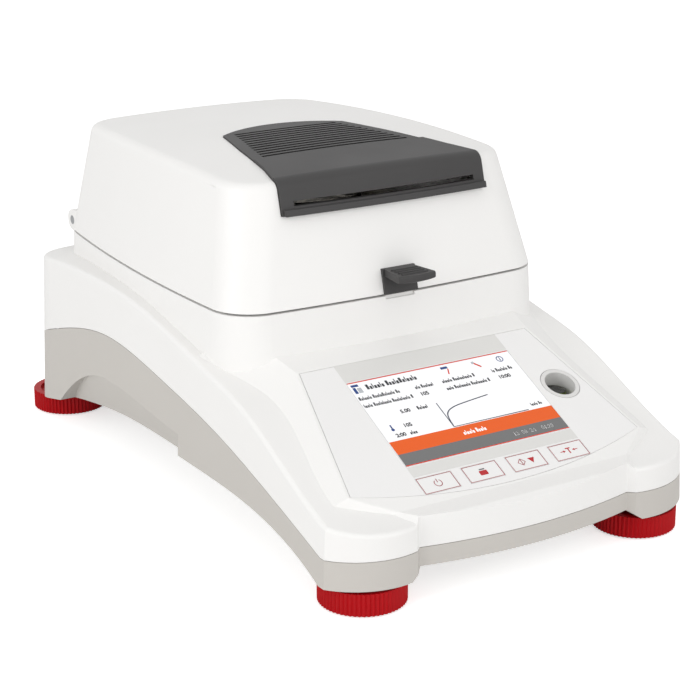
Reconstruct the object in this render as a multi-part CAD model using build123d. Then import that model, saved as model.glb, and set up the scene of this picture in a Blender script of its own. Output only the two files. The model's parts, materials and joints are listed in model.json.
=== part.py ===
"""Moisture analyzer: a halogen drying balance with a sloping display console.

A white upper housing stands on a warm grey base with four red levelling feet.
Its square tower holds the weighing chamber, and a crowned lid with a ring lamp
swings up on a hinge behind the tower.

Millimetres, +Z up, +X to the right of a person at the keys, +Y to the back.
The origin is on the table, under the middle of the instrument.
"""
from build123d import *
from math import cos, sin, tan, radians, sqrt, pi
import os

# Housing in plan
HALF_WIDTH = 104.5          # side wall at the underside
REAR_Y = 172.1              # rear wall at the underside
REAR_CORNER_R = 40.0
NOSE_Y = -180.7             # front wall in the middle
NOSE_SIDE_X = 60.0          # where the bowed front wall meets the foot lobes
NOSE_SIDE_Y = -173.5
LOBE_STEP = 3.0             # the lobes stand this much proud of the front wall
LOBE_R = 38.0
LOBE_X = 73.5
LOBE_Y = -139.9
WALL = 2.5
WALL_DRAFT = 2.5            # degrees, the walls lean in as they rise
PARTING_GAP = 0.3           # between the two housing halves
FIT_GAP = 0.3               # around a piece that drops into a recess
RUN_GAP = 0.05              # radial, around a pin or shaft

# Housing in side view, as (y, height) lines across the whole width
UNDERSIDE_Z = 13.0
BLOCK_FOOT_Z = 8.0          # the drafted block starts below the underside and is trimmed
BLOCK_TOP_Z = 118.0
ARCH_LINE = [(-157, 13), (-135, 21.5), (-99, 28.7), (-30, 31.3), (40, 30.6), (90, 24.5), (146, 13)]
NOSE_UNDERSIDE_Z = 17.8
NOSE_WEB = 7.0              # width of the slope from the nose's underside to a lobe's
NOSE_BACK_Y = -146.0
FLOOR_T = 3.0
SPLIT_LINE = [(-158, 26.8), (-117.5, 39.8), (-60.7, 55.5), (2, 66.8), (60, 72.2), (112, 62.8), (172, 44)]
SHOULDER_LINE = [(-186, 38.0), (-160, 42.6), (-126, 56.6), (-82, 75.6), (-50, 83.0), (-18, 90.2),
                 (28, 98.2), (72, 100.4), (120, 98.8), (176, 92.0)]
SHOULDER_EDGE_R = 2.0
FAR = 260.0                 # beyond the instrument on every side

# Finger recess in the side of the base
RECESS_LINE = [(-22.7, 42.5), (3.5, 44.5), (35, 47.4), (62, 48.0), (85, 42.5), (104, 31.5), (124, 14.0)]
RECESS_TOP_Z = 48.0
RECESS_SLOPE = 15.0         # degrees, its face leans in towards the underside

# Display console, measured down the sloping overlay from its top edge
CONSOLE_Y = -79.7
CONSOLE_Z = 84.8
CONSOLE_TILT = 26.5
CONSOLE_HALF_TOP = 68.5
CONSOLE_HALF_LOW = 85.0
CONSOLE_SIDE_L = 80.5
CONSOLE_LENGTH = 95.0
CONSOLE_EDGE_R = 1.2
CONSOLE_FLANK = 2.0         # width of its flanks for each mm of their height
LEDGE_Y = -64.2
LEDGE_Z = 89.2
LIP_Z = 41.0                # top of the front lip at the nose
OVERLAY_T = 0.8
OVERLAY_MARGIN = 1.5
SCREEN_W = 96.0
SCREEN_H = 57.7
SCREEN_TOP = 13.5
DISPLAY_T = 7.0
DISPLAY_RIM = 4.0
KEY_W = 20.0
KEY_H = 10.5
KEY_TOP = 79.0
KEY_PITCH = 25.4
KEY_NAMES = ["key_power", "key_print", "key_start", "key_tare"]
KEY_PAD_T = 1.2
KEY_TRAVEL = 0.4
KEY_STEM_R = 2.5
KEY_SIDE_GAP = 0.2
LEVEL_X = 61.9
LEVEL_DOWN = 42.4
LEVEL_RIM_R = 10.1
LEVEL_BORE_R = 8.0
LEVEL_WELL_R = 9.0
LEVEL_DEPTH = 17.0
VIAL_R = 6.4
VIAL_H = 6.0
BOARD_DEPTH = 15.0
BOARD_T = 1.6
BOARD_HALF_W = 60.5
BOARD_START = 5.0
BOARD_END = 91.0
BOARD_POSTS = [(57, 10), (57, 80)]
POST_R = 3.5

# Tower and lid
SEAM_Z = 110.4
SEAM_GAP = 1.2
DECK_T = 4.0
TOWER_HALF_FRONT = 91.9
TOWER_HALF_MIDDLE = 92.3
TOWER_HALF_REAR = 80.5
TOWER_FRONT_Y = -66.9
TOWER_FRONT_BOW = 4.3
TOWER_REAR_Y = 152.0
TOWER_CORNER_R = 22.0
TOWER_DRAFT = 3.0
TOWER_ROOT_Z = 70.0         # inside the housing
LID_EDGE_Z = 170.6          # top edge of the lid's walls
LID_CROWN = 3.4             # rise of the lid's top above that edge, in the middle
LID_CROWN_R = 1500.0
LID_SIDE_LEAN = 12.2
LID_FRONT_LEAN = 15.4
LID_REAR_LEAN = 5.0
LID_EDGE_R = 5.0

# Hinge behind the tower
HINGE_Y = 159.5
HINGE_R = 6.0
HINGE_PIN_R = 2.5
HINGE_X = 52.0
KNUCKLE_L = 14.0
HINGE_SIDE_GAP = 0.4

# Vent cover on the lid
VENT_LINE = [(60, -80), (60, -46), (54.5, -28), (50, -8), (45.5, 12), (37, 45)]
VENT_REAR_Y = 57.0
VENT_FOOT_Z = 154.0
VENT_PROUD = 1.5
VENT_T = 2.6
VENT_FLANGE = 3.0
VENT_SLOT_W = 1.9
VENT_SLOT_PITCH = 4.6
VENT_SLOT_COUNT = 12
VENT_SLOT_FIRST_Y = -6.0
VENT_CREASE_Y = -12.0       # the louvred field starts here, a step lower
VENT_STEP = 0.7
VENT_SLOT_MARGIN = 6.0
VENT_LIP_PROUD = 2.2
VENT_LIP_H = 3.0
VENT_FRONT_SLOT_H = 2.6

# Lid handle
HANDLE_HALF_W = 9.7
HANDLE_TOP_Z = 123.3
HANDLE_PLATE_T = 1.6
HANDLE_REACH = 17.0
HANDLE_ROOT_HALF_W = 8.5
HANDLE_FRONT_HALF_W = 10.8
HANDLE_T = 3.6
HANDLE_RIBS = 4

# Heating chamber
CHAMBER_Y = 40.0
CHAMBER_R = 64.0
CHAMBER_FLOOR_Z = 84.0
SHEET = 1.0
FLANGE_W = 8.0
CAN_R = 68.0
CAN_FLOOR_Z = 78.5
SPINDLE_HOLE_R = 8.0
SPINDLE_R = 4.0
DRAFT_RING_R = 59.0
DRAFT_RING_IN_R = 44.0
DRAFT_RING_TOP_Z = 103.0
HANDLER_IN_R = 46.0
HANDLER_OUT_R = 50.0
HANDLER_LEG_R = 1.6
PAN_R = 45.0
PAN_RIM_R = 48.5
PAN_FLOOR_Z = 95.0
PAN_RIM_Z = 101.8
PAN_T = 0.6
SUPPORT_TOP_Z = 94.6
SUPPORT_R = 36.0
LIFT_GAP = 0.4

# Lid inside
LINER_Z = 112.0
LINER_T = 1.2
WELL_R = 66.0
GLASS_Z = 128.0
GLASS_R = 63.0
GLASS_T = 3.0
GLASS_SEAT_R = 58.0
REFLECTOR_T = 0.8
REFLECTOR_TOP_Z = 154.0
REFLECTOR_TOP_R = 30.0
LAMP_R = 42.0
LAMP_TUBE_R = 5.0
LAMP_Z = 142.0
LAMP_END_X = 10.0
LAMP_END_Y = CHAMBER_Y + LAMP_R - 1.2
PROBE_Z = 121.0
PROBE_TIP_R = 53.0

# Weighing cell
CELL_L = 110.0
CELL_W = 30.0
CELL_H = 22.0
CELL_Z = 46.0
CELL_FRONT_Y = -58.0
CELL_FIXED_L = 28.0
CELL_HOLE_R = 6.5
CELL_HOLE_SPAN = 30.0
FRAME_T = 4.0
FRAME_Z = 38.0
FRAME_HALF_W = 32.0

# Levelling feet
FOOT_X = 80.0
FRONT_FOOT_Y = -155.9
REAR_FOOT_Y = 160.0
WHEEL_R = 20.7
WHEEL_RIBS = 60
WHEEL_RIB_DEPTH = 0.7
WHEEL_FOOT_Z = 0.8
WHEEL_TOP_Z = 11.5
STEM_R = 4.0
STEM_TOP_Z = 24.5
PAD_R = 14.0
PAD_H = 3.5
PIVOT_R = 3.0
PIVOT_TOP_Z = 9.0
NUT_R = 7.0
NUT_Z = 16.5
NUT_H = 6.5
FOOT_BOSS_R = 10.0
FEET = {"front_left": (-FOOT_X, FRONT_FOOT_Y), "front_right": (FOOT_X, FRONT_FOOT_Y),
        "rear_left": (-FOOT_X, REAR_FOOT_Y), "rear_right": (FOOT_X, REAR_FOOT_Y)}

# Housing screws: x, y and the height of the head's seat
HOUSING_SCREWS = [(84, -104, 33), (84, 20, 37), (82, 126, 23)]
BOSS_R = 4.5
SCREW_R = 1.5
SCREW_HEAD_R = 3.2
SCREW_HEAD_H = 2.4
SCREW_BITE = 10.0

# Rear panel with the sockets, and the supply board behind it
PANEL_Y = 168.4
PANEL_T = 3.0
PANEL_HALF_W = 62.0
PANEL_LOW_Z = 17.0
PANEL_HIGH_Z = 41.0
PANEL_MID_Z = 29.0
INLET_X = -38.0
INLET_W = 27.6
INLET_H = 19.6
INLET_DEPTH = 22.0
INLET_FLANGE = 2.0
INLET_FLANGE_T = 1.8
INLET_MOUTH = [(-12, -8), (12, -8), (12, 3.5), (7.5, 8), (-7.5, 8), (-12, 3.5)]
INLET_MOUTH_DEPTH = 16.0
INLET_PINS = [(-7, -2), (0, 2), (7, -2)]
# Serial, USB host and USB device: place, cut-out width and height, mouth width and height
DATA_SOCKETS = [(8.0, 19.6, 10.6, 17.0, 8.4), (35.0, 14.6, 7.0, 12.2, 4.8), (52.0, 12.6, 11.4, 8.6, 7.8)]
SOCKET_NAMES = ["serial_port", "usb_host_port", "usb_device_port"]
SOCKET_DEPTH = 14.0
SOCKET_RIM = 1.5
SOCKET_RIM_T = 0.8
SUPPLY_Z = 32.0
SUPPLY_HALF_W = 54.0
SUPPLY_FRONT_Y = 90.0
SUPPLY_REAR_Y = 142.0
SUPPLY_POST_X = 48.0

parts = {}


def block(x0, x1, y0, y1, z0, z1):
    """Box between two opposite corners."""
    return Pos((x0 + x1) / 2, (y0 + y1) / 2, (z0 + z1) / 2) * Box(x1 - x0, y1 - y0, z1 - z0)


def rod(x, y, z0, z1, r):
    """Upright cylinder."""
    return Pos(x, y, (z0 + z1) / 2) * Cylinder(r, z1 - z0)


def ring(x, y, z0, z1, r_out, r_in):
    """Upright tube."""
    return rod(x, y, z0, z1, r_out) - rod(x, y, z0 - 1, z1 + 1, r_in)


def cross_rod(x, y, z, length, r):
    """Cylinder along X, centred on a point."""
    return Pos(x, y, z) * Rot(0, 90, 0) * Cylinder(r, length)


def turned(outline, y=CHAMBER_Y):
    """Solid of revolution about the upright line through (0, y), from (radius, height) points."""
    edges = [Edge.make_line(a, b) for a, b in zip(outline, outline[1:] + outline[:1])]
    return Pos(0, y, 0) * revolve(Plane.XZ * make_face(edges), Axis.Z)


def height_on(line, y):
    """Height of a side-view line at y, straight between its points."""
    for (y0, z0), (y1, z1) in zip(line, line[1:]):
        if y0 <= y <= y1:
            return z0 + (z1 - z0) * (y - y0) / (y1 - y0)
    return line[-1][1]


def below_line(points, curved=True, lift=0.0):
    """Everything below a side-view line, level beyond its ends."""
    line = [(y, z + lift) for y, z in points]
    if curved:
        edges = [Edge.make_spline([Vector(y, z) for y, z in line])]
    else:
        edges = [Edge.make_line(a, b) for a, b in zip(line, line[1:])]
    (y0, z0), (y1, z1) = line[0], line[-1]
    rest = [(y1, z1), (FAR, z1), (FAR, -FAR), (-FAR, -FAR), (-FAR, z0), (y0, z0)]
    edges += [Edge.make_line(a, b) for a, b in zip(rest, rest[1:])]
    return extrude(Plane.YZ * make_face(edges), amount=FAR, both=True)


def housing_outline():
    """Plan outline of the housing: bowed nose, two foot lobes, rounded rear corners."""
    lobe_in_x = NOSE_SIDE_X + LOBE_STEP
    lobe_in_y = LOBE_Y - sqrt(LOBE_R**2 - (LOBE_X - lobe_in_x)**2)
    lobe_out_y = LOBE_Y - sqrt(LOBE_R**2 - (HALF_WIDTH - LOBE_X)**2)
    lobe_mid_x = (LOBE_X + HALF_WIDTH) / 2
    lobe_mid_y = LOBE_Y - sqrt(LOBE_R**2 - (lobe_mid_x - LOBE_X)**2)
    corner_y = REAR_Y - REAR_CORNER_R
    flat_x = HALF_WIDTH - REAR_CORNER_R
    bend = REAR_CORNER_R * (1 - sqrt(0.5))
    nose_left, nose_right = (-NOSE_SIDE_X, NOSE_SIDE_Y), (NOSE_SIDE_X, NOSE_SIDE_Y)
    edges = [Edge.make_three_point_arc(nose_left, (0, NOSE_Y), nose_right),
             Edge.make_line((flat_x, REAR_Y), (-flat_x, REAR_Y))]
    for s in (1, -1):
        edges.append(Edge.make_line((s * NOSE_SIDE_X, NOSE_SIDE_Y), (s * lobe_in_x, lobe_in_y)))
        edges.append(Edge.make_three_point_arc((s * lobe_in_x, lobe_in_y), (s * lobe_mid_x, lobe_mid_y),
                                               (s * HALF_WIDTH, lobe_out_y)))
        edges.append(Edge.make_line((s * HALF_WIDTH, lobe_out_y), (s * HALF_WIDTH, corner_y)))
        corner_middle = (s * (HALF_WIDTH - bend), REAR_Y - bend)
        edges.append(Edge.make_three_point_arc((s * HALF_WIDTH, corner_y), corner_middle,
                                               (s * flat_x, REAR_Y)))
    return make_face(edges)


def housing_block(inset=0.0):
    """Drafted block over the housing outline, from below the underside to above the seam."""
    outline = housing_outline()
    if inset:
        outline = offset(outline, amount=-inset)
    return extrude(Pos(0, 0, BLOCK_FOOT_Z) * outline, amount=BLOCK_TOP_Z - BLOCK_FOOT_Z, taper=WALL_DRAFT)


def barrel_outline(side=0.0, front=0.0, rear=0.0, corner_r=TOWER_CORNER_R):
    """Plan outline of tower and lid: bowed sides and front. The arguments move its walls inward."""
    front_y = TOWER_FRONT_Y + front
    shoulder_y = front_y + TOWER_FRONT_BOW
    rear_y = TOWER_REAR_Y - rear
    middle_y = (shoulder_y + rear_y) / 2
    half_front = TOWER_HALF_FRONT - side
    half_middle = TOWER_HALF_MIDDLE - side
    half_rear = TOWER_HALF_REAR - side
    edges = [Edge.make_three_point_arc((-half_front, shoulder_y), (0, front_y), (half_front, shoulder_y)),
             Edge.make_line((half_rear, rear_y), (-half_rear, rear_y))]
    for s in (1, -1):
        edges.append(Edge.make_three_point_arc((s * half_front, shoulder_y), (s * half_middle, middle_y),
                                               (s * half_rear, rear_y)))
    face = make_face(edges)
    return fillet(face.vertices(), corner_r)


def tower_form(inset=0.0, top_z=SEAM_Z - SEAM_GAP / 2):
    """Solid tower with its draft, from inside the housing up to the seam."""
    flare = (SEAM_Z - TOWER_ROOT_Z) * tan(radians(TOWER_DRAFT))
    top_in = inset + (top_z - SEAM_Z) * tan(radians(TOWER_DRAFT))
    root_in = inset - flare
    top = Pos(0, 0, top_z) * barrel_outline(top_in, top_in, top_in, TOWER_CORNER_R - top_in)
    root = Pos(0, 0, TOWER_ROOT_Z) * barrel_outline(root_in, root_in, root_in, TOWER_CORNER_R - root_in)
    return loft([root, top], ruled=True)


def lid_form(inset=0.0, foot_z=SEAM_Z + SEAM_GAP / 2, round_edge=True):
    """Solid lid: walls that lean in, and a slightly domed top."""
    slices = []
    for z in (foot_z, LID_EDGE_Z + LID_CROWN + 5):
        part = (z - SEAM_Z - SEAM_GAP / 2) / (LID_EDGE_Z - SEAM_Z - SEAM_GAP / 2)
        leans = (LID_SIDE_LEAN, LID_FRONT_LEAN, LID_REAR_LEAN)
        side, front, rear = (inset + lean * part for lean in leans)
        slices.append(Pos(0, 0, z) * barrel_outline(side, front, rear, TOWER_CORNER_R - inset))
    middle_y = (TOWER_FRONT_Y + TOWER_REAR_Y) / 2
    dome_z = LID_EDGE_Z + LID_CROWN - inset - LID_CROWN_R
    solid = loft(slices, ruled=True) & (Pos(0, middle_y, dome_z) * Sphere(LID_CROWN_R))
    if round_edge:
        rim = [e for e in solid.edges() if e.bounding_box().min.Z > LID_EDGE_Z - 12]
        solid = fillet(rim, LID_EDGE_R - inset)
    return solid


def console_plane(depth=0.0):
    """Sloping plane of the overlay, or one parallel to it and depth below."""
    tilt = radians(CONSOLE_TILT)
    normal = Vector(0, -sin(tilt), cos(tilt))
    return Plane(origin=Vector(0, CONSOLE_Y, CONSOLE_Z) - normal * depth, x_dir=(1, 0, 0), z_dir=normal)


def console_block(u0, u1, down0, down1, depth0, depth1):
    """Box in the console's own directions: across, down the slope, and into it."""
    centre = Pos((u0 + u1) / 2, -(down0 + down1) / 2, 0)
    return console_plane((depth0 + depth1) / 2) * centre * Box(u1 - u0, down1 - down0, depth1 - depth0)


def console_rod(u, down, depth0, depth1, r):
    """Cylinder square to the console's slope."""
    return console_plane((depth0 + depth1) / 2) * Pos(u, -down, 0) * Cylinder(r, depth1 - depth0)


def console_field(margin=0.0):
    """Overlay outline in its own plane: wider at the bottom, with a bowed lower edge."""
    top, low = CONSOLE_HALF_TOP - margin, CONSOLE_HALF_LOW - margin
    edges = [Edge.make_line((-top, -margin), (top, -margin)),
             Edge.make_line((top, -margin), (low, -CONSOLE_SIDE_L)),
             Edge.make_line((-top, -margin), (-low, -CONSOLE_SIDE_L)),
             Edge.make_three_point_arc((-low, -CONSOLE_SIDE_L), (0, -CONSOLE_LENGTH + margin),
                                       (low, -CONSOLE_SIDE_L))]
    return make_face(edges)


def flank_outline(spread):
    """Corners of the raised console, spread outward, in the console's plane."""
    rate = (CONSOLE_HALF_LOW - CONSOLE_HALF_TOP) / CONSOLE_SIDE_L
    up = 40.0
    lip = CONSOLE_LENGTH + 40.0
    right = [(CONSOLE_HALF_TOP - rate * up + spread, up), (CONSOLE_HALF_LOW + spread, -CONSOLE_SIDE_L),
             (NOSE_SIDE_X + 6 + spread, -CONSOLE_LENGTH), (NOSE_SIDE_X + 2 + spread, -lip)]
    return right + [(-x, y) for x, y in reversed(right)]


def console_form(inset=0.0):
    """Raised console: flanks slope down on both sides, a ledge behind, a lip in front."""
    tilt = radians(CONSOLE_TILT)
    reach = 22.0            # the flanks go on inside the slope around them
    high = 4.0
    faces = []
    for depth in (-high, reach):
        corners = flank_outline(depth * CONSOLE_FLANK - inset)
        faces.append(console_plane(depth) * make_face(Polyline(*corners, close=True).edges()))
    flanks = loft(faces, ruled=True)
    low_y = CONSOLE_Y - CONSOLE_LENGTH * cos(tilt)
    low_z = CONSOLE_Z - CONSOLE_LENGTH * sin(tilt)
    ledge_rise = (LEDGE_Z - CONSOLE_Z) / (LEDGE_Y - CONSOLE_Y)
    profile = [(NOSE_Y, LIP_Z), (low_y, low_z), (CONSOLE_Y, CONSOLE_Z),
               (LEDGE_Y + 10, LEDGE_Z + 10 * ledge_rise)]
    form = flanks & below_line(profile, curved=False, lift=-inset) & housing_block(inset)
    if inset:
        return form
    rims = [e for e in form.edges() if is_console_rim(e)]
    return fillet(rims, CONSOLE_EDGE_R)


def is_console_rim(edge):
    """True for the raised console's top side edges, from the ledge down to the front lip."""
    middle = edge.center()
    low = CONSOLE_Z - CONSOLE_LENGTH * sin(radians(CONSOLE_TILT))
    down = (CONSOLE_Y - middle.Y) / cos(radians(CONSOLE_TILT))
    on_slope = abs(middle.Z - (CONSOLE_Z - down * sin(radians(CONSOLE_TILT)))) < 0.3
    return on_slope and middle.Z > low and abs(middle.X) > NOSE_SIDE_X and 0 < down < CONSOLE_LENGTH


def housing_form(inset=0.0):
    """Outer form of the upper housing, or the same form moved inward by a wall."""
    body = housing_block(inset) & below_line(SHOULDER_LINE, lift=-inset)
    if not inset:
        creases = [e for e in body.edges() if e.bounding_box().min.Z > NOSE_UNDERSIDE_Z]
        body = fillet(creases, SHOULDER_EDGE_R)
    top_z = SEAM_Z - SEAM_GAP / 2 - (DECK_T if inset else 0)
    return body + console_form(inset) + tower_form(inset, top_z)


def arch_void(lift=0.0):
    """Hollow under the instrument, or the same with the floor's thickness added."""
    line = [(y, z + lift) for y, z in ARCH_LINE]
    (y0, z0), (y1, z1) = line[0], line[-1]
    edges = [Edge.make_spline([Vector(y, z) for y, z in line])]
    rest = [(y1, z1), (y1, 0), (y0, 0), (y0, z0)]
    edges += [Edge.make_line(a, b) for a, b in zip(rest, rest[1:])]
    arch = extrude(Plane.YZ * make_face(edges), amount=FAR, both=True)
    web = NOSE_SIDE_X + NOSE_WEB
    corners = [(-web, 0), (-web, UNDERSIDE_Z + lift), (-NOSE_SIDE_X, NOSE_UNDERSIDE_Z + lift),
               (NOSE_SIDE_X, NOSE_UNDERSIDE_Z + lift), (web, UNDERSIDE_Z + lift), (web, 0)]
    nose = extrude(Plane.XZ * make_face(Polyline(*corners, close=True).edges()), amount=-NOSE_BACK_Y)
    nose = Pos(0, NOSE_BACK_Y, 0) * nose
    flat = block(-FAR, FAR, -FAR, FAR, 0, UNDERSIDE_Z + lift)
    return arch + nose + flat


def side_recess(side, grow=0.0):
    """Finger recess of one side wall, as the solid that is cut away."""
    line = [(y, z + grow) for y, z in RECESS_LINE]
    (y0, z0), (y1, z1) = line[0], line[-1]
    edges = [Edge.make_spline([Vector(y, z) for y, z in line])]
    rest = [(y1, z1), (y1, 0), (y0 - grow, 0), (y0 - grow, z0), (y0, z0)]
    edges += [Edge.make_line(a, b) for a, b in zip(rest, rest[1:]) if a != b]
    column = extrude(Plane.YZ * make_face(edges), amount=side * FAR)
    wall_x = HALF_WIDTH - (RECESS_TOP_Z - BLOCK_FOOT_Z) * tan(radians(WALL_DRAFT))
    hinge_line = Pos(wall_x - grow, 0, RECESS_TOP_Z) * Rot(0, RECESS_SLOPE, 0)
    face = hinge_line * Pos(FAR / 2, 0, 0) * Box(FAR, 2 * FAR, FAR)
    if side < 0:
        face = mirror(face, about=Plane.YZ)
    return column & face


def screw_places():
    """Housing screws as (x, y, seat height), on both sides."""
    return [(s * x, y, z) for x, y, z in HOUSING_SCREWS for s in (1, -1)]


def base_shell():
    """Grey lower tray: wall, arched floor, foot bosses, screw bosses, posts and the socket panel."""
    under_split = below_line(SPLIT_LINE, lift=-PARTING_GAP / 2)
    form = housing_block() & under_split
    form -= arch_void()
    hollow = housing_block(WALL) - arch_void(FLOOR_T)
    for side in (1, -1):
        form -= side_recess(side)
        hollow -= side_recess(side, WALL)
    limit = form
    shell = form - hollow
    panel = block(-PANEL_HALF_W - WALL, PANEL_HALF_W + WALL, PANEL_Y - PANEL_T, REAR_Y,
                  PANEL_LOW_Z - WALL, PANEL_HIGH_Z + WALL)
    posts = [rod(x, y, 0, FAR, BOSS_R) for x, y, z in screw_places()]
    posts += [rod(x, y, 0, NUT_Z + NUT_H - 1, FOOT_BOSS_R) for x, y in FEET.values()]
    posts += [rod(x, y, 0, FRAME_Z, POST_R) for x, y in frame_posts()]
    posts += [rod(x, y, 0, SUPPLY_Z, POST_R) for x, y in supply_posts()]
    for extra in [panel] + posts:
        shell += extra & limit
    for x, y, seat in screw_places():
        shell -= rod(x, y, 0, FAR, SCREW_R + RUN_GAP)
        shell -= rod(x, y, 0, seat, SCREW_HEAD_R + FIT_GAP)
    for x, y in FEET.values():
        shell -= rod(x, y, 0, FAR, STEM_R + FIT_GAP)
        shell -= Pos(x, y, 0) * extrude(Pos(0, 0, NUT_Z) * RegularPolygon(NUT_R + RUN_GAP, 6), amount=FAR)
    shell -= block(-PANEL_HALF_W, PANEL_HALF_W, PANEL_Y, FAR, PANEL_LOW_Z, PANEL_HIGH_Z)
    for cut in socket_cuts():
        shell -= cut
    return shell


def frame_posts():
    """Places of the four posts under the weighing frame."""
    x = FRAME_HALF_W - POST_R
    y0 = CELL_FRONT_Y - 4
    return [(s * x, y) for s in (1, -1) for y in (y0, CELL_FRONT_Y + CELL_L)]


def supply_posts():
    """Places of the posts under the supply board."""
    rows = (SUPPLY_FRONT_Y + 6, SUPPLY_REAR_Y - 6)
    return [(s * SUPPLY_POST_X, y) for s in (1, -1) for y in rows]


def socket_cuts():
    """Openings through the rear panel for the inlet and the three data sockets."""
    y0, y1 = PANEL_Y - PANEL_T - 1, PANEL_Y + 1
    sizes = [(INLET_X, INLET_W, INLET_H)] + [(x, w, h) for x, w, h, mouth_w, mouth_h in DATA_SOCKETS]
    return [block(x - w / 2, x + w / 2, y0, y1, PANEL_MID_Z - h / 2, PANEL_MID_Z + h / 2)
            for x, w, h in sizes]


def power_inlet():
    """Three-pole mains inlet: flange, tapered mouth and three flat pins."""
    half_w, half_h = INLET_W / 2 - FIT_GAP, INLET_H / 2 - FIT_GAP
    z = PANEL_MID_Z
    body = block(INLET_X - half_w, INLET_X + half_w, PANEL_Y - INLET_DEPTH, PANEL_Y, z - half_h, z + half_h)
    out_w, out_h = half_w + INLET_FLANGE, half_h + INLET_FLANGE
    body += block(INLET_X - out_w, INLET_X + out_w, PANEL_Y, PANEL_Y + INLET_FLANGE_T, z - out_h, z + out_h)
    mouth = extrude(Plane.XZ * make_face(Polyline(*INLET_MOUTH, close=True).edges()), amount=FAR)
    mouth_floor_y = PANEL_Y - INLET_MOUTH_DEPTH
    body -= Pos(INLET_X, mouth_floor_y + FAR, z) * mouth
    for dx, dz in INLET_PINS:
        x = INLET_X + dx
        body += block(x - 1, x + 1, mouth_floor_y - 1, PANEL_Y - 5, z + dz - 2, z + dz + 2)
    return body


def data_socket(x, cut_w, cut_h, mouth_w, mouth_h):
    """Metal-shelled socket in the rear panel, open at the back, with a flat tongue inside."""
    z = PANEL_MID_Z
    half_w, half_h = cut_w / 2 - FIT_GAP, cut_h / 2 - FIT_GAP
    face_y = PANEL_Y + SOCKET_RIM_T
    floor_y = PANEL_Y - SOCKET_DEPTH + 4
    body = block(x - half_w, x + half_w, PANEL_Y - SOCKET_DEPTH, face_y, z - half_h, z + half_h)
    rim_w, rim_h = half_w + SOCKET_RIM, half_h + SOCKET_RIM
    body += block(x - rim_w, x + rim_w, PANEL_Y, face_y, z - rim_h, z + rim_h)
    body -= block(x - mouth_w / 2, x + mouth_w / 2, floor_y, FAR, z - mouth_h / 2, z + mouth_h / 2)
    tongue_w, tongue_h = mouth_w / 3, mouth_h / 6
    body += block(x - tongue_w, x + tongue_w, floor_y - 1, PANEL_Y - 4.5, z - tongue_h, z + tongue_h)
    return body


def top_housing():
    """White upper housing: sloping shoulders, raised console, tower with the chamber's deck."""
    outer = housing_form() - below_line(SPLIT_LINE, lift=PARTING_GAP / 2)
    inner = housing_form(WALL)
    shell = outer - inner
    for x, y, seat in screw_places():
        shell += rod(x, y, 0, FAR, BOSS_R) & outer
        top = height_on(SPLIT_LINE, y) + SCREW_BITE
        shell -= rod(x, y, 0, top + 1, SCREW_R + RUN_GAP)
    shell = console_cuts(shell)
    deck_z = SEAM_Z - SEAM_GAP / 2
    shell -= rod(0, CHAMBER_Y, deck_z - SHEET - RUN_GAP, FAR, CHAMBER_R + FLANGE_W + FIT_GAP)
    shell -= rod(0, CHAMBER_Y, SEAM_Z - 2 * DECK_T, FAR, CHAMBER_R + FIT_GAP)
    for s in (1, -1):
        shell += hinge_ear(s * HINGE_X)
        shell -= cross_rod(s * HINGE_X, HINGE_Y, SEAM_Z, 3 * KNUCKLE_L, HINGE_PIN_R + RUN_GAP)
    notch_y = TOWER_FRONT_Y + 1.2
    shell -= block(-HANDLE_ROOT_HALF_W, HANDLE_ROOT_HALF_W, TOWER_FRONT_Y - 2, notch_y, deck_z - 1.6, FAR)
    for i in range(-7, 8):
        shell -= block(i * 6 - 1.3, i * 6 + 1.3, REAR_Y - 12, FAR, 58, 80)
    return shell


def hinge_ear(x):
    """Fixed hinge knuckle with its web on the tower's rear wall."""
    half = KNUCKLE_L / 2
    ear = cross_rod(x, HINGE_Y, SEAM_Z, KNUCKLE_L, HINGE_R)
    web = block(x - half, x + half, TOWER_REAR_Y - 0.5, HINGE_Y, SEAM_Z - 13, SEAM_Z - 2)
    cut = Pos(x, HINGE_Y, SEAM_Z - 13) * Rot(45, 0, 0) * Box(2 * KNUCKLE_L, 11, 11)
    return ear + (web - cut)


def console_cuts(shell):
    """Recess for the overlay film, windows, key pockets, level well and board posts."""
    top = console_plane()
    shell -= extrude(top * console_field(OVERLAY_MARGIN - FIT_GAP), amount=-OVERLAY_T)
    window = SCREEN_W / 2
    shell -= console_block(-window, window, SCREEN_TOP, SCREEN_TOP + SCREEN_H, -1, WALL + 1)
    for name, x in zip(KEY_NAMES, key_places()):
        down = KEY_TOP + KEY_H / 2
        depth = KEY_PAD_T + KEY_TRAVEL + KEY_SIDE_GAP
        shell -= console_block(x - KEY_W / 2, x + KEY_W / 2, KEY_TOP, KEY_TOP + KEY_H, -1, depth)
        shell -= console_rod(x, down, -1, WALL + 1, KEY_STEM_R + FIT_GAP)
    shell -= console_rod(LEVEL_X, LEVEL_DOWN, -1, OVERLAY_T + 0.8, LEVEL_RIM_R + FIT_GAP)
    shell -= console_rod(LEVEL_X, LEVEL_DOWN, -1, LEVEL_DEPTH, LEVEL_WELL_R + FIT_GAP)
    for u, down in BOARD_POSTS:
        for s in (1, -1):
            shell += console_rod(s * u, down, WALL - 0.5, BOARD_DEPTH, POST_R)
    return shell


def key_places():
    """Middles of the four keys, across the console."""
    return [(i - 1.5) * KEY_PITCH for i in range(len(KEY_NAMES))]


def overlay():
    """Printed film over the console, with windows for screen, keys and level."""
    film = extrude(console_plane() * console_field(OVERLAY_MARGIN), amount=-OVERLAY_T)
    window = SCREEN_W / 2
    film -= console_block(-window, window, SCREEN_TOP, SCREEN_TOP + SCREEN_H, -1, 2)
    for x in key_places():
        film -= console_block(x - KEY_W / 2, x + KEY_W / 2, KEY_TOP, KEY_TOP + KEY_H, -1, 2)
    return film - console_rod(LEVEL_X, LEVEL_DOWN, -1, 2, LEVEL_RIM_R + FIT_GAP)


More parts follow.
